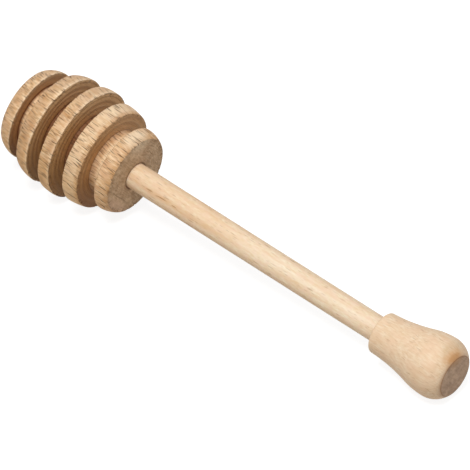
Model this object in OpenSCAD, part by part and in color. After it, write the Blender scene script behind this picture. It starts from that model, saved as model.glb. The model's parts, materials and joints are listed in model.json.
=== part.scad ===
// Honey dipper lying on its side: a ringed head and a turned grip, glued onto a dowel.
// The dowel's axis runs from the head at -X down to the grip at +X.
// The widest ring and the grip's bulge rest on the plane z = 0. The grip leans a little off the
// dowel's line, sideways, so that it still rests on the plane.

/* [Stem] */
// Diameter of the dowel
stem_d = 8; // [6:0.1:9]
// Length of dowel in view between the head and the grip
stem_reach = 94.7; // [50:0.1:160]
// Length of dowel inside the head
stem_in_head = 22; // [12:0.5:34]
// Length of dowel inside the grip
stem_in_grip = 12; // [8:0.5:20]
// Chamfer on both ends of the dowel
stem_chamfer = 0.6; // [0.2:0.1:1]

/* [Head] */
// Diameter of the core, which is the floor of every groove
core_d = 20.2; // [16:0.1:21]
// Width of each of the three grooves farther from the stem
groove_w = 4.3; // [3.6:0.1:6]
// Width of the groove nearest to the stem
near_groove_w = 4.6; // [3.6:0.1:6]
// Radius that eases the edges of the rings
ring_edge_r = 0.35; // [0.2:0.05:0.8]
// Radius that eases the edges of the head's two end faces
face_edge_r = 0.5; // [0.3:0.05:1.2]

/* [Ring thicknesses] */
// Ring at the far end
ring_1_w = 4.5; // [3.6:0.05:5.6]
// Second ring
ring_2_w = 5; // [3.6:0.05:5.6]
// Middle ring
ring_3_w = 4.45; // [4:0.05:5.6]
// Fourth ring
ring_4_w = 5.2; // [3.6:0.05:5.6]
// Ring beside the stem
ring_5_w = 4.6; // [3.6:0.05:5.6]

/* [Ring diameters] */
// Ring at the far end
ring_1_d = 28.4; // [26:0.1:32]
// Second ring
ring_2_d = 34.1; // [28:0.1:35]
// Middle ring, on which the head lies
ring_3_d = 34.8; // [33:0.1:38]
// Fourth ring
ring_4_d = 32.6; // [28:0.1:35]
// Ring beside the stem
ring_5_d = 26.9; // [26:0.1:32]

/* [Ring rims] */
// Radius of the rounded rim of the ring at the far end
rim_1_r = 7.4; // [6.2:0.1:20]
// Radius of the rim of the second ring
rim_2_r = 11; // [6.2:0.1:30]
// Radius of the rim of the middle ring
rim_3_r = 13.7; // [8:0.1:15]
// Radius of the rim of the fourth ring
rim_4_r = 18.8; // [6.2:0.1:30]
// Radius of the rim of the ring beside the stem
rim_5_r = 8.5; // [6.2:0.1:20]
// Where the middle ring is widest, as a share of its thickness from the far side
mid_crest = 0.67; // [0.2:0.01:0.7]

/* [Grip] */
// Length of the grip
grip_len = 27.2; // [25:0.1:40]
// Largest diameter, at the bulge
grip_d = 19.4; // [18:0.1:24]
// Diameter at the shoulder
neck_d = 13; // [11.6:0.1:14]
// Diameter of the flat end
grip_end_d = 13.1; // [10:0.1:14]
// Distance from the bulge to the flat end
bulge_to_end = 5.9; // [5:0.1:8]
// Radius of the bulge on the side of the stem
bulge_r = 25; // [16:0.5:32]
// Angle at which the hollow flank leaves the shoulder
flank_angle = 1.6; // [0.5:0.1:3]
// Radius that eases the shoulder
shoulder_r = 0.5; // [0.2:0.05:1]
// Radius that eases the edge of the flat end
grip_edge_r = 0.8; // [0.2:0.05:1]
// Angle by which the grip leans off the dowel's line, as it was glued
grip_lean = 1.9; // [0:0.1:3]

/* [Fit] */
// Gap all round the dowel in its bores, filled by glue
glue_gap = 0.05; // [0.03:0.01:0.15]
// Chamfer at the mouth of each bore
mouth_chamfer = 0.25; // [0.1:0.05:0.5]

/* [Hidden] */
$fn = 180;

stem_r = stem_d / 2;
bore_r = stem_r + glue_gap;
core_r = core_d / 2;
ring_r = [ring_1_d, ring_2_d, ring_3_d, ring_4_d, ring_5_d] / 2;
ring_w = [ring_1_w, ring_2_w, ring_3_w, ring_4_w, ring_5_w];
rim_r = [rim_1_r, rim_2_r, rim_3_r, rim_4_r, rim_5_r];
gap_w = [groove_w, groove_w, groove_w, near_groove_w];
last = len(ring_r) - 1;
function ring_z(i) = i == 0 ? 0 : ring_z(i - 1) + ring_w[i - 1] + gap_w[i - 1];
head_len = ring_z(last) + ring_w[last];

// Points of a profile are [distance from the axis, distance along it from the far end].
// The outer rings are highest on the side that faces the middle of the head.
crest_at = [1, 1, mid_crest, 0, 0];
function crest(i) = [ring_r[i], ring_z(i) + ring_w[i] * crest_at[i]];
function rim_centre(i) = crest(i) - [rim_r[i], 0];

// Centre of a round of radius e that lies inside the arc of radius r about c and touches
// the wall at z. Side is -1 where the wall closes the lower end and 1 where it closes the upper.
function round_centre(c, r, z, side, e) =
    [c.x + sqrt(pow(r - e, 2) - pow(z - side * e - c.y, 2)), z - side * e];

far_round = round_centre(rim_centre(0), rim_r[0], 0, -1, face_edge_r);

grip_r = grip_d / 2;
neck_r = neck_d / 2;
shoulder_z = head_len + stem_reach;
end_z = shoulder_z + grip_len;
bulge_z = end_z - bulge_to_end;
bulge_centre = [grip_r - bulge_r, bulge_z];
end_drop = (grip_d - grip_end_d) / 2;
end_arc_r = (pow(bulge_to_end, 2) + pow(end_drop, 2)) / (2 * end_drop);
end_arc_centre = [grip_r - end_arc_r, bulge_z];
end_round = round_centre(end_arc_centre, end_arc_r, end_z, 1, grip_edge_r);

// The hollow flank is an arc that starts at the neck and runs into the bulge without a corner
rise = grip_r - neck_r;
run = bulge_z - shoulder_z;
flank_r = (pow(run, 2) + pow(rise, 2) - 2 * bulge_r * rise)
    / (2 * (bulge_r * (1 - cos(flank_angle)) + rise * cos(flank_angle) - run * sin(flank_angle)));
flank_centre = [neck_r, shoulder_z] + flank_r * [cos(flank_angle), -sin(flank_angle)];
flank_end = flank_centre + (bulge_centre - flank_centre) * flank_r / (flank_r + bulge_r);
shoulder_drop = sqrt(pow(flank_r + shoulder_r, 2) - pow(shoulder_z + shoulder_r - flank_centre.y, 2));
shoulder_round = [flank_centre.x - shoulder_drop, shoulder_z + shoulder_r];
flank_start = shoulder_round + (flank_centre - shoulder_round) * shoulder_r / (flank_r + shoulder_r);

// The grip leans about the middle of the dowel's seat in it
seat_z = shoulder_z + stem_in_grip / 2;

// The axis leans by the angle of the line that touches a ring's rim and the grip's bulge
function lean_on(i) =
    let (d = end_arc_centre - rim_centre(i))
    asin((rim_r[i] - end_arc_r) / norm(d)) - atan2(d.x, d.y);
lean = max([for (i = [0:last]) lean_on(i)]);
axis_h = end_arc_centre.y * sin(lean) + end_arc_centre.x * cos(lean) + end_arc_r;
low_x = far_round.y * cos(lean) - far_round.x * sin(lean) - face_edge_r;
end_lean = acos(cos(lean) * cos(grip_lean));
end_x = (end_round.y - seat_z) * cos(end_lean) + end_round.x * sin(end_lean) + grip_edge_r;
high_x = seat_z * cos(lean) + end_x;
mid_x = (low_x + high_x) / 2;

// Seams lie at the side, a little past a quarter turn, so that none faces the plane below
seam_turn = 91.5;

// Turns a profile about the dowel's axis, which still stands upright
module turned() {
    rotate([0, 0, seam_turn])
        rotate_extrude()
            children();
}

// Lays a turned piece down in its place
module laid_down() {
    translate([-mid_x, 0, axis_h])
        rotate([0, 90 + lean, 0])
            children();
}

// Slice of a disc of radius r about c, outside the chord from a to b
module crown(c, r, a, b) {
    intersection() {
        translate(c) circle(r);
        polygon([a, 2 * a - c, 2 * b - c, b]);
    }
}

// Profile of ring i, with a crowned rim and eased edges
module ring_profile(i) {
    z0 = ring_z(i);
    z1 = z0 + ring_w[i];
    e0 = i == 0 ? face_edge_r : ring_edge_r;
    e1 = i == last ? face_edge_r : ring_edge_r;
    a = round_centre(rim_centre(i), rim_r[i], z0, -1, e0);
    b = round_centre(rim_centre(i), rim_r[i], z1, 1, e1);
    polygon([[0, z0], [a.x, z0], a, b, [b.x, z1], [0, z1]]);
    translate(a) circle(e0);
    translate(b) circle(e1);
    crown(rim_centre(i), rim_r[i], a, b);
}

// Profile of a blind bore from its mouth to its floor, with the mouth chamfered
module bore_profile(mouth, floor) {
    inward = sign(floor - mouth);
    wide = bore_r + mouth_chamfer;
    polygon([
        [0, mouth - inward], [wide, mouth - inward], [wide, mouth],
        [bore_r, mouth + inward * mouth_chamfer], [bore_r, floor], [0, floor]
    ]);
}

module head() {
    color("#d8b484") laid_down() turned() difference() {
        union() {
            square([core_r, head_len]);
            for (i = [0:last]) ring_profile(i);
        }
        bore_profile(head_len, head_len - stem_in_head);
    }
}

module stem() {
    z0 = head_len - stem_in_head;
    z1 = shoulder_z + stem_in_grip;
    tip_r = stem_r - stem_chamfer;
    color("#efd8b4") laid_down() turned() polygon([
        [0, z0], [tip_r, z0], [stem_r, z0 + stem_chamfer],
        [stem_r, z1 - stem_chamfer], [tip_r, z1], [0, z1]
    ]);
}

// Shoulder and hollow flank, as far as the bulge's arc
module flank_profile() {
    difference() {
        polygon([
            [0, shoulder_z], [shoulder_round.x, shoulder_z], shoulder_round,
            flank_start, flank_end, [0, flank_end.y]
        ]);
        translate(flank_centre) circle(flank_r, $fn = 720);
    }
    translate(shoulder_round) circle(shoulder_r);
}

// Bulge on the side of the stem
module bulge_profile() {
    intersection() {
        translate(bulge_centre) circle(bulge_r, $fn = 360);
        translate([0, shoulder_z]) square([grip_d, run]);
    }
}

// Rounded end and its flat face
module end_profile() {
    a = end_arc_centre + [end_arc_r - grip_edge_r, 0];
    polygon([[0, flank_end.y], a, end_round, [end_round.x, end_z], [0, end_z]]);
    translate(end_round) circle(grip_edge_r);
    crown(end_arc_centre, end_arc_r, a, end_round);
}

// The outside leans, and the bore stays in line with the dowel
module grip() {
    color("#eacb9f") laid_down() difference() {
        translate([0, 0, seat_z])
            rotate([-grip_lean, 0, 0])
                translate([0, 0, -seat_z])
                    turned() {
                        flank_profile();
                        bulge_profile();
                        end_profile();
                    }
        turned() bore_profile(shoulder_z, shoulder_z + stem_in_grip);
    }
}

head();
stem();
grip();
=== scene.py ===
# Honey dipper: a ringed beech head and a bulbed beech grip on a beech dowel, on a pale floor.
import json
import math
from functools import partial

import bmesh
import bpy
from mathutils import Matrix, Vector, noise


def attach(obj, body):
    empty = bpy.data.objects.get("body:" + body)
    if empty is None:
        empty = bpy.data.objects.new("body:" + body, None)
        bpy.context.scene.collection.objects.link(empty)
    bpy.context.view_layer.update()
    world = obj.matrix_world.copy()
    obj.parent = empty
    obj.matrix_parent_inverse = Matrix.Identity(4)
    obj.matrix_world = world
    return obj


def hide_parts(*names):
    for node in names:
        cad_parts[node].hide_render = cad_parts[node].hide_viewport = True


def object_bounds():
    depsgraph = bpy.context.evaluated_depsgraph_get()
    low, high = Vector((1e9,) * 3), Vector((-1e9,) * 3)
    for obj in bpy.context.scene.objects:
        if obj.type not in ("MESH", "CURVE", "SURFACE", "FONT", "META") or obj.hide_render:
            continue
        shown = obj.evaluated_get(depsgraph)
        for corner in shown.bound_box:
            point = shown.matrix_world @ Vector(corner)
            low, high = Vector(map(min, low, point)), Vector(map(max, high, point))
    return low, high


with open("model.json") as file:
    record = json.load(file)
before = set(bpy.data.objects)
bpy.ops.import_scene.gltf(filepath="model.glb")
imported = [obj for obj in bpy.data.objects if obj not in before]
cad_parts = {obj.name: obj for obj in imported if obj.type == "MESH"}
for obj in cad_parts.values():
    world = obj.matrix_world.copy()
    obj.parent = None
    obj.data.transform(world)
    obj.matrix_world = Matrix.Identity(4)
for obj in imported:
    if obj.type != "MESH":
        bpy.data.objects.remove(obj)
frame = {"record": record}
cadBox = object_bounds()
mm = 0.001

# The turning axis starts at the head's far end face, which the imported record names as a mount
mounts = {m["name"]: m for m in frame["record"]["mounts"]}
headEnd = Vector(mounts["head_end"]["pos_m"])
axisDir = -Vector(mounts["head_end"]["axis"])
lean = math.atan2(-axisDir.z, axisDir.x)

# Pieces are turned in millimetres along +X from the head's far end, and then laid in place
layDown = Matrix.Translation(headEnd) @ Matrix.Rotation(lean, 4, "Y") @ Matrix.Scale(mm, 4)


# Camera and light

view = {
    "azimuth": 40.92,      # degrees round the dipper, as the photo shows it
    "elevation": 41.87,    # degrees above the floor
    "lens": 1500,          # mm; very long, because the stem is as wide at both ends of the picture
    "sensor": 36,          # mm
    "frameWidth": 136.7,   # mm across the picture at the dipper, so a pixel is 0.29 mm
    "along": 54.73,        # mm along the axis to the point that the aim starts from
    "right": 18.75,        # mm from there to the picture's middle, to the right
    "up": -10.78,          # and upwards
}


def viewAxes():
    a, e = math.radians(view["azimuth"]), math.radians(view["elevation"])
    back = Vector((math.sin(a) * math.cos(e), -math.cos(a) * math.cos(e), math.sin(e)))
    right = Vector((math.cos(a), math.sin(a), 0))
    return right, back.cross(right), back


def makeCamera():
    right, up, back = viewAxes()
    data = bpy.data.cameras.new("camera")
    data.lens = view["lens"]
    data.sensor_width = view["sensor"]
    distance = view["frameWidth"] * mm * data.lens / data.sensor_width
    aim = headEnd + (view["along"] * axisDir + view["right"] * right + view["up"] * up) * mm
    camera = bpy.data.objects.new("camera", data)
    bpy.context.scene.collection.objects.link(camera)
    camera.location = aim + back * distance
    camera.rotation_euler = back.to_track_quat("Z", "Y").to_euler()
    data.clip_end = distance * 2
    bpy.context.scene.camera = camera


keyLamp = {
    "towards": (-0.10, 0.46, 0.88),   # in the picture: right, up and towards the camera
    "distance": 1.1,                  # metres from the middle of the dipper
    "size": 0.5,                      # metres across, which keeps the shadows soft
    "watts": 9.6,
}


def makeKeyLamp():
    towards = sum((share * axis for share, axis in zip(keyLamp["towards"], viewAxes())), Vector())
    towards.normalize()
    data = bpy.data.lights.new("keyLamp", "AREA")
    data.shape = "DISK"
    data.size = keyLamp["size"]
    data.energy = keyLamp["watts"]
    obj = bpy.data.objects.new("keyLamp", data)
    bpy.context.scene.collection.objects.link(obj)
    obj.location = (cadBox[0] + cadBox[1]) / 2 + towards * keyLamp["distance"]
    obj.rotation_euler = towards.to_track_quat("Z", "Y").to_euler()


# Materials

# sRGB hex to linear RGBA
def linear(hexColour):
    channels = [int(hexColour[i:i + 2], 16) / 255 for i in (1, 3, 5)]
    return [c / 12.92 if c <= 0.04045 else ((c + 0.055) / 1.055) ** 2.4 for c in channels] + [1]


# Adds a node with its settings, its links and, for a ramp, its (place, level) stops, and returns
# the output that is asked for
def addNode(tree, kind, inputs, out=0, stops=(), **settings):
    node = tree.nodes.new("ShaderNode" + kind)
    for key, value in settings.items():
        setattr(node, key, value)
    for key, value in inputs.items():
        if isinstance(value, bpy.types.NodeSocket):
            tree.links.new(value, node.inputs[key])
        else:
            node.inputs[key].default_value = value
    for i, (place, level) in enumerate(stops):
        elements = node.color_ramp.elements
        element = elements[i] if i < 2 else elements.new(place)   # a new ramp has two
        element.position = place
        element.color = (level, level, level, 1)
    return node.outputs[out] if node.outputs else node


def newMaterial(name):
    material = bpy.data.materials.new(name)
    material.use_nodes = True
    material.node_tree.nodes.clear()
    return material, partial(addNode, material.node_tree)


# What the three pieces share: bare beech, turned and sanded. It is plain, pale and without gloss,
# with faint growth layers and the short brown rays that mark it as beech.
wood = {
    "ior": 1.5, "specular": 0.3,
    "rayRoughness": 0.2,                        # added in the rays, whose cells are open
    "rayCore": 0.5,                             # share of a dash's radius that is full
    "rayFaint": 0.35,                           # strength of the faintest dashes kept
    "rayCut": 0.02,
    "rayFade": -0.75,                           # rays nearly vanish where end grain shows
    "endStops": [(0.70, 0.0), (0.95, 1.0)],     # cosines to the axis at which end grain shows
    "layerStops": [(0.0, 0.5), (0.12, 0.0), (0.55, 0.0), (0.92, 0.9), (1.0, 0.5)],
    "toolStops": [(0.38, 0.0), (0.62, 1.0)],
    "spread": {                                 # levels of a noise between which it shows
        "fibre": (0.36, 0.64), "streak": (0.42, 0.66), "mottle": (0.40, 0.64),
        "hair": (0.45, 0.62), "blotch": (0.35, 0.65),
    },
    "spotSway": (0.3, 0.5, 0.5),                # how far a spot's outline follows the grain
    "spotCore": 0.45,                           # share of a spot's radius that has full strength
    "wallDepth": 20.0,                          # mm; radius at the ramp's end
    "wallStops": [(0.48, 1.0), (0.88, 0.55)],   # painted shade: the walls are darkest at the core
    "sideSpan": 40.0,                           # mm across the piece that a side's stops cover
}


# Bare beech as a solid pattern, so the grain runs through the piece
def beech(name, look):
    material, add = newMaterial(name)
    surface = add("TexCoord", {}).node.outputs

    # Millimetres along the grain, across it in the growth layer, and away from the pith. The
    # clock has the piece's turn alone, and the lathe none.
    spaces = []
    for turn, tilt, veer in (
            (look["turn"], look["tilt"], look["veer"]), (look["turn"], 0, 0), (0, 0, 0)):
        turned = Matrix.Rotation(lean, 3, "Y")
        for angle, axis in ((turn, "X"), (tilt, "Y"), (veer, "Z")):
            turned = turned @ Matrix.Rotation(math.radians(angle), 3, axis)
        spaces.append(add("Mapping", {
            "Vector": surface["Object"], "Location": headEnd,
            "Rotation": turned.to_euler(), "Scale": (mm, mm, mm)}, vector_type="TEXTURE"))
    straight, clock, lathe = spaces
    along = add("SeparateXYZ", {0: lathe}, 0)
    side = add("SeparateXYZ", {0: clock}, 1)
    across = add("VectorMath", {0: lathe, 1: (0, 1, 1)}, operation="MULTIPLY")
    radius = add("VectorMath", {0: across}, "Value", operation="LENGTH")

    # The grain sways a little off its straight lines
    scaled = add("VectorMath", {0: straight, 1: [1 / s for s in look["swaySize"]]},
                 operation="MULTIPLY")
    sway = add("TexNoise", {"Vector": scaled, "Scale": 1.0, "Detail": 2.0}, "Color")
    sway = add("VectorMath", {0: sway, 1: (0.5, 0.5, 0.5)}, operation="SUBTRACT")
    swayed = add("VectorMath", {0: sway, 1: look["sway"]}, operation="MULTIPLY")
    grain = add("VectorMath", {0: straight, 1: swayed}, operation="ADD")

    # Soft patterns: the noise itself, and how much of its colour shows
    clouds, shown = {}, {}
    for kind, where, detail, share in (
            ("fibre", grain, 3.0, 1.0), ("streak", grain, 2.0, look["streakShare"]),
            ("mottle", grain, 3.0, look["blush"]), ("hair", grain, 3.0, look["hairShare"]),
            ("blotch", lathe, 3.0, 1.0)):
        scaled = add("VectorMath", {0: where, 1: [1 / s for s in look[kind + "Size"]]},
                     operation="MULTIPLY")
        clouds[kind] = add("TexNoise", {"Vector": scaled, "Scale": 1.0, "Detail": detail}, "Fac")
        low, high = wood["spread"][kind]
        shown[kind] = add("ValToRGB", {"Fac": clouds[kind]}, stops=[(low, 0.0), (high, share)])

    # Growth layers, each darkest where it ends
    layer = add("SeparateXYZ", {0: grain}, 2)
    layer = add("Math", {0: layer, 1: look["layerPitch"]}, operation="DIVIDE")
    layer = add("Math", {0: layer}, operation="FRACT")
    lateWood = add("ValToRGB", {"Fac": layer}, stops=wood["layerStops"])

    # End grain shows where the surface faces along the axis
    facing = add("VectorMath", {0: surface["Normal"], 1: axisDir}, "Value",
                 operation="DOT_PRODUCT")
    facing = add("Math", {0: facing}, operation="ABSOLUTE")
    endGrain = add("ValToRGB", {"Fac": facing}, stops=wood["endStops"])

    # Rays are thin upright ribbons, so they show as short dashes where the layers lie flat
    ray = 0.0
    for dash in look["rays"]:
        scaled = add("VectorMath", {0: grain, 1: [1 / s for s in dash["cell"]]},
                     operation="MULTIPLY")
        cells = add("TexVoronoi", {"Vector": scaled, "Scale": 1.0, "Randomness": 1.0}).node.outputs
        full, kept, dark = dash["full"], dash["kept"], dash["dark"]
        near = add("ValToRGB", {"Fac": cells["Distance"]},
                   stops=[(0.0, 1.0), (full * wood["rayCore"], 1.0), (full, 0.0)])
        chance = add("SeparateColor", {"Color": cells["Color"]})
        some = add("ValToRGB", {"Fac": chance},
                   stops=[(0.0, dark), (kept, dark * wood["rayFaint"]),
                          (kept + wood["rayCut"], 0.0)])
        one = add("Math", {0: near, 1: some}, operation="MULTIPLY")
        ray = add("Math", {0: one, 1: ray}, operation="MAXIMUM")
    fade = add("Math", {0: endGrain, 1: wood["rayFade"], 2: 1.0}, operation="MULTIPLY_ADD")
    ray = add("Math", {0: ray, 1: fade}, operation="MULTIPLY")

    # Rings that the tool leaves on the faces
    turns = add("Math", {0: radius, 1: look["toolPitch"]}, operation="DIVIDE")
    marks = add("TexNoise", {"W": turns, "Scale": 1.0, "Detail": 2.0}, "Fac",
                noise_dimensions="1D")
    rings = add("ValToRGB", {"Fac": marks}, stops=wood["toolStops"])
    toolMarks = add("Math", {0: rings, 1: endGrain}, operation="MULTIPLY")

    # The mix node has several sockets of each name, so they are picked by place
    ends = add("Mix", {0: shown["blotch"], 6: linear(look["endGrain"]),
                       7: linear(look["endDark"])}, 2, data_type="RGBA")
    ends = add("Mix", {0: shown["hair"], 6: ends, 7: linear(look["hair"])}, 2, data_type="RGBA")

    # Colours laid one over the other, each by the product of its shares
    layers = []
    for kind, colour in (("fibre", "tan"), ("streak", "orange"), ("mottle", "pink")):
        layers.append(([shown[kind]], linear(look[colour])))
    layers.append(([lateWood, look["layerShare"]], linear(look["late"])))
    layers.append(([endGrain, look["endShare"]], ends))

    drift = add("VectorMath", {0: sway, 1: wood["spotSway"]}, operation="MULTIPLY")
    drift = add("VectorMath", {0: clock, 1: drift}, operation="ADD")
    for spot in look["spots"]:
        where = add("VectorMath", {0: drift, 1: spot["at"]}, operation="SUBTRACT")
        scaled = add("VectorMath", {0: where, 1: [1 / s for s in spot["size"]]},
                     operation="MULTIPLY")
        reach = add("VectorMath", {0: scaled}, "Value", operation="LENGTH")
        there = add("ValToRGB", {"Fac": reach}, stops=[
            (0.0, spot["share"]), (wood["spotCore"], spot["share"]), (1.0, 0.0)])
        layers.append(([there], linear(spot["colour"])))

    # The groove walls are brown end grain with painted shade, the darker the deeper they are, and
    # the cutter leaves brown rings on them. The far end face stays clear.
    if "wallBrownAndShade" in look:
        half = look["wallsTo"] / 2
        walls = add("Math", {0: along, 1: half, 2: half - look["wallsFrom"]},
                    operation="COMPARE")
        walls = add("Math", {0: walls, 1: endGrain}, operation="MULTIPLY")
        depth = add("Math", {0: radius, 1: wood["wallDepth"]}, operation="DIVIDE")
        depth = add("ValToRGB", {"Fac": depth}, stops=wood["wallStops"])
        layers.append(([walls, depth, look["wallBrownAndShadeShare"]], linear(look["wallBrownAndShade"])))
        layers.append(([walls, rings, look["ringShare"]], linear(look["burnt"])))
        span = wood["sideSpan"]
        sideways = add("Math", {0: side, 1: 1 / span, 2: 0.5}, operation="MULTIPLY_ADD")
        # Painted shade on the walls' low side and painted light on their high side
        for part in look["wallSideLightAndShade"]:
            level = add("ValToRGB", {"Fac": sideways},
                        stops=[(y / span + 0.5, share) for y, share in part["stops"]])
            layers.append(([walls, level], linear(part["colour"])))

    # Bands that follow the turning, each between two radii, with (along, share) stops; some are
    # painted light and shade
    for band in look.get("bands", []):
        length = look["bandLength"]
        low, high = band["radii"]
        level = add("Math", {0: along, 1: length}, operation="DIVIDE")
        level = add("ValToRGB", {"Fac": level},
                    stops=[(x / length, share) for x, share in band["stops"]])
        within = add("Math", {0: radius, 1: (low + high) / 2, 2: (high - low) / 2},
                     operation="COMPARE")
        layers.append(([level, within], linear(band["colour"])))

    layers.append(([toolMarks, look["toolShare"]], linear(look["endDark"])))
    if "edgeStops" in look:
        edge = add("ValToRGB", {"Fac": facing}, stops=look["edgeStops"])
        layers.append(([edge, look["edgeDark"]], linear(look["ray"])))
    # Painted contact shade: a dark ring where one piece enters another
    for line in look.get("contactShadeLines", []):
        away = add("Math", {0: along, 1: line["at"]}, operation="SUBTRACT")
        away = add("Math", {0: away}, operation="ABSOLUTE")
        there = add("Math", {0: away, 1: line["reach"]}, operation="LESS_THAN")
        inner = add("Math", {0: radius, 1: line["radius"]}, operation="LESS_THAN")
        layers.append(([there, inner, line["share"]], linear(look["ray"])))
    layers.append(([ray], linear(look["ray"])))

    colour = linear(look["pale"])
    for shares, over in layers:
        share = shares[0]
        for factor in shares[1:]:
            share = add("Math", {0: share, 1: factor}, operation="MULTIPLY")
        colour = add("Mix", {0: share, 6: colour, 7: over}, 2, data_type="RGBA")

    height = add("Math", {0: clouds["fibre"], 1: look["fibreDepth"]}, operation="MULTIPLY")
    pits = add("Math", {0: ray, 1: look["rayDepth"]}, operation="MULTIPLY")
    height = add("Math", {0: height, 1: pits}, operation="SUBTRACT")
    height = add("Math", {0: toolMarks, 1: look["toolDepth"], 2: height},
                 operation="MULTIPLY_ADD")
    bump = add("Bump", {"Height": height, "Strength": 1.0, "Distance": mm})
    roughness = add("Math", {0: ray, 1: wood["rayRoughness"], 2: look["roughness"]},
                    operation="MULTIPLY_ADD")
    shader = add("BsdfPrincipled", {
        "Base Color": colour, "Roughness": roughness, "IOR": wood["ior"],
        "Specular IOR Level": wood["specular"], "Normal": bump})
    add("OutputMaterial", {"Surface": shader})
    return material


# Turning

# Points [along, out] on an arc, with angles in degrees from the axis
def arc(centre, radius, start, end, count):
    steps = [math.radians(start + (end - start) * i / count) for i in range(count + 1)]
    return [(centre[0] + radius * math.cos(t), centre[1] + radius * math.sin(t)) for t in steps]


def evenly(a, b, count):
    return [(a[0] + (b[0] - a[0]) * i / count, a[1] + (b[1] - a[1]) * i / count)
            for i in range(count + 1)]


# Direction from a to b, in degrees from the axis
def angleTo(a, b):
    return math.degrees(math.atan2(b[1] - a[1], b[0] - a[0]))


# Centre of an edge's round that touches the wall and lies inside the rim's arc
def roundCentre(centre, radius, wall, side, edge):
    along = wall - side * edge
    return along, centre[1] + math.sqrt((radius - edge) ** 2 - (along - centre[0]) ** 2)


# Spins an outline of [along, out] points about the X axis into a closed body
def turn(outline, steps, same=1e-4):
    bm = bmesh.new()
    verts = []
    for along, out in outline:
        point = Vector((along, 0, max(out, 0)))
        if not verts or (point - verts[-1].co).length > same:
            verts.append(bm.verts.new(point))
    edges = [bm.edges.new(pair) for pair in zip(verts, verts[1:])]
    bmesh.ops.spin(bm, geom=verts + edges, cent=(0, 0, 0), axis=(1, 0, 0), dvec=(0, 0, 0),
                   angle=math.tau, steps=steps, use_merge=True, use_duplicate=False)
    bmesh.ops.remove_doubles(bm, verts=bm.verts, dist=same)
    bmesh.ops.recalc_face_normals(bm, faces=bm.faces)
    return bm


def finishPiece(bm, name, node, material):
    mesh = bpy.data.meshes.new(name)
    bm.to_mesh(mesh)
    bm.free()
    mesh.transform(layDown)
    for face in mesh.polygons:
        face.use_smooth = True
    mesh.materials.append(material)
    obj = bpy.data.objects.new(name, mesh)
    bpy.context.scene.collection.objects.link(obj)
    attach(obj, "root")
    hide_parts(node)
    print(name, len(mesh.polygons), "faces")


# Head

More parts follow.
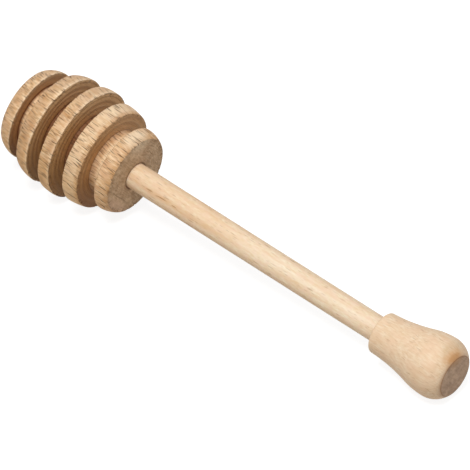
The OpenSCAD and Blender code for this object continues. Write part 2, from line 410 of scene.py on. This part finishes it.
# Lengths in millimetres, the far ring first
head = {
    "ringWidths": (4.5, 5.0, 4.45, 5.2, 4.6),
    "grooveWidths": (4.3, 4.3, 4.3, 4.6),
    "coreRadius": 10.1,
    "ringRadii": (14.2, 17.05, 17.4, 16.3, 13.45),
    "rimRadii": (7.4, 11.0, 13.7, 18.8, 8.5),  # each rim is rounded along the axis
    "crests": (1, 1, 0.67, 0, 0),              # where a ring is widest, as a share of its width
    "edgeRadius": 0.35,
    "faceEdgeRadius": 0.5,
    "boreRadius": 4.05,
    "boreDepth": 22,
    "mouthChamfer": 0.25,
    "filletRadius": 0.5,   # rounded foot of every wall
    "edgeLead": 0.2,       # where a wall's rows stop short of its edge
    "rows": {"wall": 7, "edge": 4, "rim": 12, "foot": 4, "floor": 4},
    "steps": 384,
    "nickDepth": 0.9,      # how far torn grain cuts back the rings' edges
    "nickReach": 0.8,      # how far from an edge
    "nickWidth": 0.42,
    "nickLength": 3,
    "nickFrom": 0.08,      # level of the noise above which the grain is torn
    # Turned from flat-sawn beech. It is tan, with strong dark dashes where the layers face the
    # eye, brown walls with painted shade deep in the grooves, and dull grey-brown end grain.
    # Fibres are 0.02 mm thick, finer than a pixel, so they are drawn as bundles 0.36 mm wide. Rays
    # are 0.1 to 0.2 mm thick and up to
    # 4 mm long, and are drawn 0.3 mm thick. The cutter's marks are 0.2 mm apart, and are drawn in
    # groups
    # 0.95 mm apart.
    "look": {
        "turn": -140.9, "tilt": 0.6, "veer": 5,    # the layers lie flat on the side in the picture
        "pale": "#F0D1A8", "tan": "#D0A474", "orange": "#BF8A54", "pink": "#DDB290",
        "late": "#B98856", "ray": "#4E2C12",
        "endGrain": "#D3B592", "endDark": "#B49372", "hair": "#8A6844",
        "streakShare": 0.5, "blush": 0.35, "layerShare": 0.2, "endShare": 0.94, "hairShare": 0.45,
        "swaySize": (5, 2.5, 2.5), "sway": (0, 1.0, 0.8),
        "fibreSize": (3.6, 0.36, 0.9), "streakSize": (5, 1.3, 2.6), "mottleSize": (5, 2.4, 3),
        "hairSize": (2, 0.32, 2.4), "blotchSize": (2, 1.4, 1.4),
        "layerPitch": 2.7,                         # mm; one year's growth
        # Each cell, in mm, can hold one dash. Full is the dash's reach in it, and kept the share
        # of cells that have one.
        "rays": [
            {"cell": (4.4, 0.34, 5), "full": 0.42, "kept": 0.85, "dark": 0.8},
            {"cell": (2.6, 0.3, 4), "full": 0.4, "kept": 0.6, "dark": 0.45},
        ],
        "toolPitch": 0.95, "toolShare": 0.12, "toolDepth": 0.08,
        "edgeDark": 0.35, "edgeStops": [(0.55, 0.0), (0.86, 1.0), (0.93, 1.0), (1.0, 0.0)],
        # The walls' brown with painted shade of the deep grooves, and where along the axis the
        # walls lie
        "wallBrownAndShade": "#D69C58", "wallBrownAndShadeShare": 0.7, "wallsFrom": 0.4, "wallsTo": 40.8,
        "burnt": "#74401A", "ringShare": 0.3,
        "wallSideLightAndShade": [         # across the view: painted shade on the low side, and painted light on the high side
            {"colour": "#521E00", "stops": [(6, 0.0), (11, 0.4), (15, 0.78)]},
            {"colour": "#DCBC94", "stops": [(-16, 0.05), (-10, 0.45), (-4, 0.15), (0, 0.0)]},
        ],
        "bandLength": 50.0,
        "bands": [
            # Darker core: painted shade at the foot of the first and fourth grooves, and dark all
            # along the second and third. Painted light on the rest of the first and fourth
            # grooves' cores.
            {"colour": "#663406", "radii": (0, 10.7), "stops": [
                (4.3, 0.0), (4.45, 0.95), (4.7, 0.8), (5.3, 0.0), (13.7, 0.0), (13.8, 0.92),
                (18.1, 0.88), (18.2, 0.0), (22.5, 0.0), (22.6, 0.9), (26.85, 0.85), (26.9, 0.0),
                (32.0, 0.0), (32.1, 0.5), (34.2, 0.0)]},
            {"colour": "#FFE6BE", "radii": (0, 10.7), "stops": [
                (4.9, 0.0), (5.6, 0.12), (8.7, 0.12), (8.8, 0.0),
                (33.6, 0.0), (35.0, 0.5), (36.2, 0.15), (36.6, 0.0)]},
            # The first wall is burnt darker than the second and the third
            {"colour": "#6E3A14", "radii": (10.7, 13.8), "stops": [
                (4.2, 0.0), (4.3, 0.28), (4.6, 0.28), (4.8, 0.0)]},
            {"colour": "#FFBE64", "radii": (10.7, 16.9), "stops": [
                (13.5, 0.0), (13.7, 0.16), (13.9, 0.16), (14.1, 0.0),
                (22.2, 0.0), (22.4, 0.16), (22.7, 0.16), (22.9, 0.0)]},
            # Painted highlights on the near edges of the first three rings, and a paler fourth rim
            {"colour": "#FFF0D0", "radii": (11.5, 18), "stops": [
                (3.7, 0.0), (4.3, 0.28), (4.5, 0.0), (12.9, 0.0), (13.5, 0.28), (13.8, 0.0),
                (21.6, 0.0), (22.2, 0.22), (22.5, 0.0), (26.8, 0.0), (26.9, 0.16), (30.8, 0.16),
                (31.0, 0.0)]},
            # Tanner second and third rims, and painted shade on the rounded near edges of the
            # fourth and the fifth
            {"colour": "#A8763E", "radii": (11.5, 18), "stops": [
                (8.7, 0.0), (8.8, 0.22), (12.4, 0.22), (12.6, 0.0), (18.0, 0.0), (18.1, 0.14),
                (21.4, 0.14), (21.6, 0.0), (30.4, 0.0), (32.0, 0.35), (32.1, 0.0),
                (39.4, 0.0), (41.0, 0.4), (41.2, 0.0)]},
        ],
        "spots": [
            # Painted light on the upper side, a tanner lower side that is painted warm shade, and
            # a pale patch on the near ring
            {"at": (18.0, -14.0, -10.0), "size": (26, 9, 12), "share": 0.18, "colour": "#F4E2C8"},
            {"at": (18.0, 15.0, -6.0), "size": (26, 9, 12), "share": 0.3, "colour": "#F4BC74"},
            {"at": (39.5, -9.5, -9.0), "size": (3.5, 6, 6), "share": 0.45, "colour": "#FFEED0"},
            # A crack and a pink zone on the near face
            {"at": (41.2, 7.9, -1.0), "size": (0.8, 0.3, 10), "share": 0.5, "colour": "#6A4A2C"},
            {"at": (41.3, 10.9, 0.0), "size": (0.8, 2.9, 9.0), "share": 0.5, "colour": "#DAB69A"},
        ],
        # Painted contact shade round the dowel on the near face
        "contactShadeLines": [{"at": 41.25, "reach": 0.5, "radius": 4.45, "share": 0.48}],
        "fibreDepth": 0.08, "rayDepth": 0.20, "roughness": 0.62,
    },
}


# Also returns the sharp corners of the rings, where the grain tears
def headOutline():
    outline, corners = [], []
    last = len(head["ringRadii"]) - 1
    core, foot, lead = head["coreRadius"], head["filletRadius"], head["edgeLead"]
    rows = head["rows"]
    bore, mouth = head["boreRadius"], head["mouthChamfer"]
    high = 0
    for i, (top, rim, width, crest) in enumerate(zip(
            head["ringRadii"], head["rimRadii"], head["ringWidths"], head["crests"])):
        low = high + head["grooveWidths"][i - 1] if i else 0
        high = low + width
        centre = (low + width * crest, top - rim)
        lowEdge = head["faceEdgeRadius"] if i == 0 else head["edgeRadius"]
        highEdge = head["faceEdgeRadius"] if i == last else head["edgeRadius"]
        a = roundCentre(centre, rim, low, -1, lowEdge)
        b = roundCentre(centre, rim, high, 1, highEdge)
        start, end = angleTo(centre, a), angleTo(centre, b)
        corners += [(low, a[1]), (high, b[1])]
        outline += evenly((low, core + foot if i else 0), (low, a[1] - lead), rows["wall"])
        outline += arc(a, lowEdge, 180, start, rows["edge"])
        outline += arc(centre, rim, start, end, rows["rim"])
        outline += arc(b, highEdge, end, 0, rows["edge"])
        down = core + foot if i < last else bore + mouth
        outline += evenly((high, b[1] - lead), (high, down), rows["wall"])
        if i < last:
            far = high + head["grooveWidths"][i]
            outline += arc((high + foot, core + foot), foot, 180, 270, rows["foot"])
            outline += evenly((high + foot, core), (far - foot, core), rows["floor"])
            outline += arc((far - foot, core + foot), foot, -90, 0, rows["foot"])
    floorAt = high - head["boreDepth"]
    outline += [(high - mouth, bore), (floorAt, bore), (floorAt, 0)]
    return outline, corners


def makeHead(material):
    outline, corners = headOutline()
    bm = turn(outline, head["steps"])
    bm.normal_update()
    width, reach = head["nickWidth"], head["nickReach"]
    for vert in bm.verts:
        out = math.hypot(vert.co.y, vert.co.z)
        away = min(math.hypot(vert.co.x - c[0], out - c[1]) for c in corners)
        if away < reach:
            torn = noise.noise(Vector(
                (vert.co.x / head["nickLength"], vert.co.y / width, vert.co.z / width)))
            cut = max(0, torn - head["nickFrom"]) * head["nickDepth"] * (1 - away / reach)
            vert.co -= vert.normal * cut
    finishPiece(bm, "turnedHead", "head", material)


# Stem

stem = {
    "radius": 4.0, "chamfer": 0.6, "start": 19.25, "end": 147.95,
    "rows": 120, "steps": 96,
    # A machined beech dowel, cut along the grain and sanded. It is the palest piece, straight and
    # even, with faint tan flecks. Its fibres are drawn in bundles 0.4 mm wide, and its rays
    # 0.3 mm thick.
    "look": {
        "turn": -140.9, "tilt": 0.8, "veer": 1,
        "pale": "#EFDFC4", "tan": "#E4CCA9", "orange": "#DAB488", "pink": "#E9CAB1",
        "late": "#CCA47C", "ray": "#7E5430",
        "endGrain": "#CDAA82", "endDark": "#A88A68", "hair": "#8A6A4A",
        "streakShare": 0.55, "blush": 0.6, "layerShare": 0.25, "endShare": 0.8, "hairShare": 0.3,
        "swaySize": (9, 3, 3), "sway": (0, 0.7, 0.7),
        "fibreSize": (1.8, 0.4, 0.5), "streakSize": (12, 1.3, 1.3), "mottleSize": (2.2, 1.4, 1.4),
        "hairSize": (2, 0.4, 2.4), "blotchSize": (2, 2, 2),
        "layerPitch": 3.2,
        "rays": [
            {"cell": (5, 0.6, 6), "full": 0.3, "kept": 0.35, "dark": 0.5},
            {"cell": (2.6, 0.45, 4), "full": 0.34, "kept": 0.45, "dark": 0.3},
        ],
        "toolPitch": 0.5, "toolShare": 0.2, "toolDepth": 0.03,
        "bandLength": 160.0,
        "bands": [             # handled and a little browner towards the head
            {"colour": "#E2AC70", "radii": (0, 5), "stops": [
                (41, 0.1), (52, 0.22), (76, 0.14), (95, 0.0)]},
        ],
        "spots": [
            # A painted highlight: a pale streak along the stem's lit middle
            {"at": (104, -0.1, -4.0), "size": (46, 1.2, 3), "share": 0.3, "colour": "#F4E8D2"},
            # A tan streak with brown flecks, a little below the side that the picture shows
            {"at": (60.0, 1.5, -3.7), "size": (22, 1.0, 3), "share": 0.4, "colour": "#CC9E6C"},
            {"at": (49.5, 1.35, -3.7), "size": (1.6, 0.22, 2), "share": 0.7, "colour": "#8A5C36"},
            {"at": (54.2, 1.5, -3.7), "size": (2.4, 0.2, 2), "share": 0.8, "colour": "#8A5C36"},
            {"at": (59.0, 1.6, -3.7), "size": (1.3, 0.2, 2), "share": 0.7, "colour": "#8A5C36"},
        ],
        # Painted contact shade on the dowel just before the grip's shoulder
        "contactShadeLines": [{"at": 135.55, "reach": 0.35, "radius": 5.0, "share": 0.45}],
        "fibreDepth": 0.03, "rayDepth": 0.06, "roughness": 0.55,
    },
}


def makeStem(material):
    start, end, radius, chamfer = stem["start"], stem["end"], stem["radius"], stem["chamfer"]
    outline = [(start, 0), (start, radius - chamfer)]
    outline += evenly((start + chamfer, radius), (end - chamfer, radius), stem["rows"])
    outline += [(end, radius - chamfer), (end, 0)]
    finishPiece(turn(outline, stem["steps"]), "dowelStem", "stem", material)


# Grip

grip = {
    "start": 135.95, "end": 163.15,
    "bulgeRadius": 9.7, "neckRadius": 6.5, "endRadius": 6.55,
    "bulgeToEnd": 5.9, "bulgeArc": 25, "flankAngle": 1.6,
    "shoulderEdge": 0.5, "endEdge": 0.8,
    "boreRadius": 4.05, "boreDepth": 12, "mouthChamfer": 0.25,
    "lean": 1.9,           # degrees off the dowel's line, about the middle of its seat
    "edgeLead": 0.15,      # where a face's rows stop short of its edge
    "rows": {"mouth": 3, "edge": 6, "flank": 36, "bulge": 14, "end": 20, "face": 8},
    "steps": 256,
    # Turned and finely sanded beech. It is pale and smooth, with faint loops where the layers are
    # cut at a slant, brown-grey end grain and an orange patch beside it. Fibres are bundled as on
    # the head, 0.4 mm wide, and the marks on the end face are drawn 0.6 mm apart.
    "look": {
        "turn": -140.9, "tilt": -6.0, "veer": 0,   # the grain runs out a little on the flank
        "pale": "#EBD5B9", "tan": "#E0C3A0", "orange": "#D8B288", "pink": "#E4C2A2",
        "late": "#C8A078", "ray": "#8A5A30",
        "endGrain": "#C8A88C", "endDark": "#A3836A", "hair": "#7A5A3C",
        "streakShare": 0.35, "blush": 0.6, "layerShare": 0.16, "endShare": 0.94, "hairShare": 0.3,
        "swaySize": (5, 3, 3), "sway": (0, 1.0, 1.4),
        "fibreSize": (2.6, 0.4, 0.7), "streakSize": (6, 1.6, 2.2), "mottleSize": (4, 2.4, 2.8),
        "hairSize": (2, 0.8, 3), "blotchSize": (3, 2.2, 2.2),
        "layerPitch": 0.9,
        "rays": [
            {"cell": (3.6, 0.5, 5), "full": 0.34, "kept": 0.4, "dark": 0.3},
            {"cell": (2.2, 0.4, 4), "full": 0.34, "kept": 0.5, "dark": 0.2},
        ],
        "toolPitch": 0.6, "toolShare": 0.2, "toolDepth": 0.04,
        "edgeDark": 0.6, "edgeStops": [(0.78, 0.0), (0.9, 1.0), (0.98, 1.0), (1.0, 0.0)],
        "spots": [             # olive, orange and brown, one inside the other
            {"at": (161.0, -5.8, -5.2), "size": (3.4, 6, 6), "share": 0.26, "colour": "#B4905C"},
            {"at": (162.2, -5.1, -5.4), "size": (1.9, 5, 5), "share": 0.4, "colour": "#CC9050"},
            {"at": (162.5, -5, -5.6), "size": (0.9, 3.4, 3.2), "share": 0.45, "colour": "#B07434"},
        ],
        "fibreDepth": 0.03, "rayDepth": 0.06, "roughness": 0.55,
    },
}


def gripOutline():
    start, end = grip["start"], grip["end"]
    top, neck, bulgeArc = grip["bulgeRadius"], grip["neckRadius"], grip["bulgeArc"]
    bore, mouth = grip["boreRadius"], grip["mouthChamfer"]
    lead, edge, rows = grip["edgeLead"], grip["shoulderEdge"], grip["rows"]
    bulge = end - grip["bulgeToEnd"]
    bulgeCentre = (bulge, top - bulgeArc)
    drop = top - grip["endRadius"]
    endArc = (grip["bulgeToEnd"] ** 2 + drop ** 2) / (2 * drop)
    endCentre = (bulge, top - endArc)
    endRound = roundCentre(endCentre, endArc, end, 1, grip["endEdge"])
    # The hollow flank is the arc that leaves the shoulder at its angle and runs into the bulge
    rise, run, angle = top - neck, bulge - start, math.radians(grip["flankAngle"])
    flank = (run ** 2 + rise ** 2 - 2 * bulgeArc * rise) / (
        2 * (bulgeArc * (1 - math.cos(angle)) + rise * math.cos(angle) - run * math.sin(angle)))
    flankCentre = (start - flank * math.sin(angle), neck + flank * math.cos(angle))
    drawnIn = math.sqrt((flank + edge) ** 2 - (start + edge - flankCentre[0]) ** 2)
    shoulder = (start + edge, flankCentre[1] - drawnIn)
    meet = angleTo(flankCentre, bulgeCentre)
    toFlank = angleTo(shoulder, flankCentre)
    toEnd = angleTo(endCentre, endRound)
    outline = [(start + grip["boreDepth"], 0), (start + grip["boreDepth"], bore)]
    outline += [(start + mouth, bore)]
    outline += evenly((start, bore + mouth), (start, shoulder[1] - lead), rows["mouth"])
    outline += arc(shoulder, edge, 180, toFlank, rows["edge"])
    outline += arc(flankCentre, flank, toFlank - 180, meet, rows["flank"])
    outline += arc(bulgeCentre, bulgeArc, meet + 180, 90, rows["bulge"])
    outline += arc(endCentre, endArc, 90, toEnd, rows["end"])
    outline += arc(endRound, grip["endEdge"], toEnd, 0, rows["edge"])
    outline += evenly((end, endRound[1] - lead), (end, 0), rows["face"])
    return outline


# The outside leans, and the bore stays in line with the dowel
def makeGrip(material):
    bm = turn(gripOutline(), grip["steps"])
    spare = 0.01
    mouth = grip["boreRadius"] + grip["mouthChamfer"] + spare
    floorAt = grip["start"] + grip["boreDepth"] + spare
    outside = [v for v in bm.verts if math.hypot(v.co.y, v.co.z) > mouth or v.co.x > floorAt]
    seat = (grip["start"] + grip["boreDepth"] / 2, 0, 0)
    bmesh.ops.rotate(bm, verts=outside, cent=seat,
                     matrix=Matrix.Rotation(math.radians(grip["lean"]), 3, "Z"))
    finishPiece(bm, "turnedGrip", "grip", material)


# Floor and background

studio = {
    "soft": 0.37,          # light from all round on the dipper
    "white": 1.0,          # what the camera sees of it
    "floorSize": 4.0,      # metres
    "floorColour": "#C2BCB2",
    "floorGlow": 0.86,     # what the camera sees of the floor, apart from its shadow
    "floorShade": 0.3,     # grey that carries the shadow
}


# 1 for the rays that see a white studio: those of the camera, of a gloss and of clear pieces
def whiteRays(add):
    path = add("LightPath", {}).node.outputs
    seen = add("Math", {0: path["Is Camera Ray"], 1: path["Is Glossy Ray"]}, operation="MAXIMUM")
    return add("Math", {0: seen, 1: path["Is Transmission Ray"]}, operation="MAXIMUM")


# Matt white paper, which takes a faint shadow
def makeFloor():
    bm = bmesh.new()
    bmesh.ops.create_grid(bm, x_segments=1, y_segments=1, size=studio["floorSize"] / 2)
    mesh = bpy.data.meshes.new("floor")
    bm.to_mesh(mesh)
    bm.free()
    material, add = newMaterial("mattPaper")
    grey = studio["floorShade"]
    paper = add("BsdfDiffuse", {"Color": linear(studio["floorColour"])})
    glow = add("Emission", {"Color": (1, 1, 1, 1), "Strength": studio["floorGlow"]})
    shade = add("BsdfDiffuse", {"Color": (grey, grey, grey, 1)})
    seen = add("AddShader", {0: glow, 1: shade})
    mix = add("MixShader", {0: whiteRays(add), 1: paper, 2: seen})
    add("OutputMaterial", {"Surface": mix})
    mesh.materials.append(material)
    obj = bpy.data.objects.new("floor", mesh)
    bpy.context.scene.collection.objects.link(obj)


def makeWorld():
    world = bpy.data.worlds.new("studio")
    bpy.context.scene.world = world
    world.use_nodes = True
    world.node_tree.nodes.clear()
    add = partial(addNode, world.node_tree)
    soft = add("Background", {"Color": (1, 1, 1, 1), "Strength": studio["soft"]})
    white = add("Background", {"Color": (1, 1, 1, 1), "Strength": studio["white"]})
    mix = add("MixShader", {0: whiteRays(add), 1: soft, 2: white})
    add("OutputWorld", {"Surface": mix})


bpy.context.scene.view_settings.view_transform = "Standard"
makeCamera()
makeKeyLamp()
makeWorld()
makeFloor()
print("studio ready")
makeHead(beech("beechTurnedHead", head["look"]))
makeStem(beech("beechDowel", stem["look"]))
makeGrip(beech("beechTurnedGrip", grip["look"]))
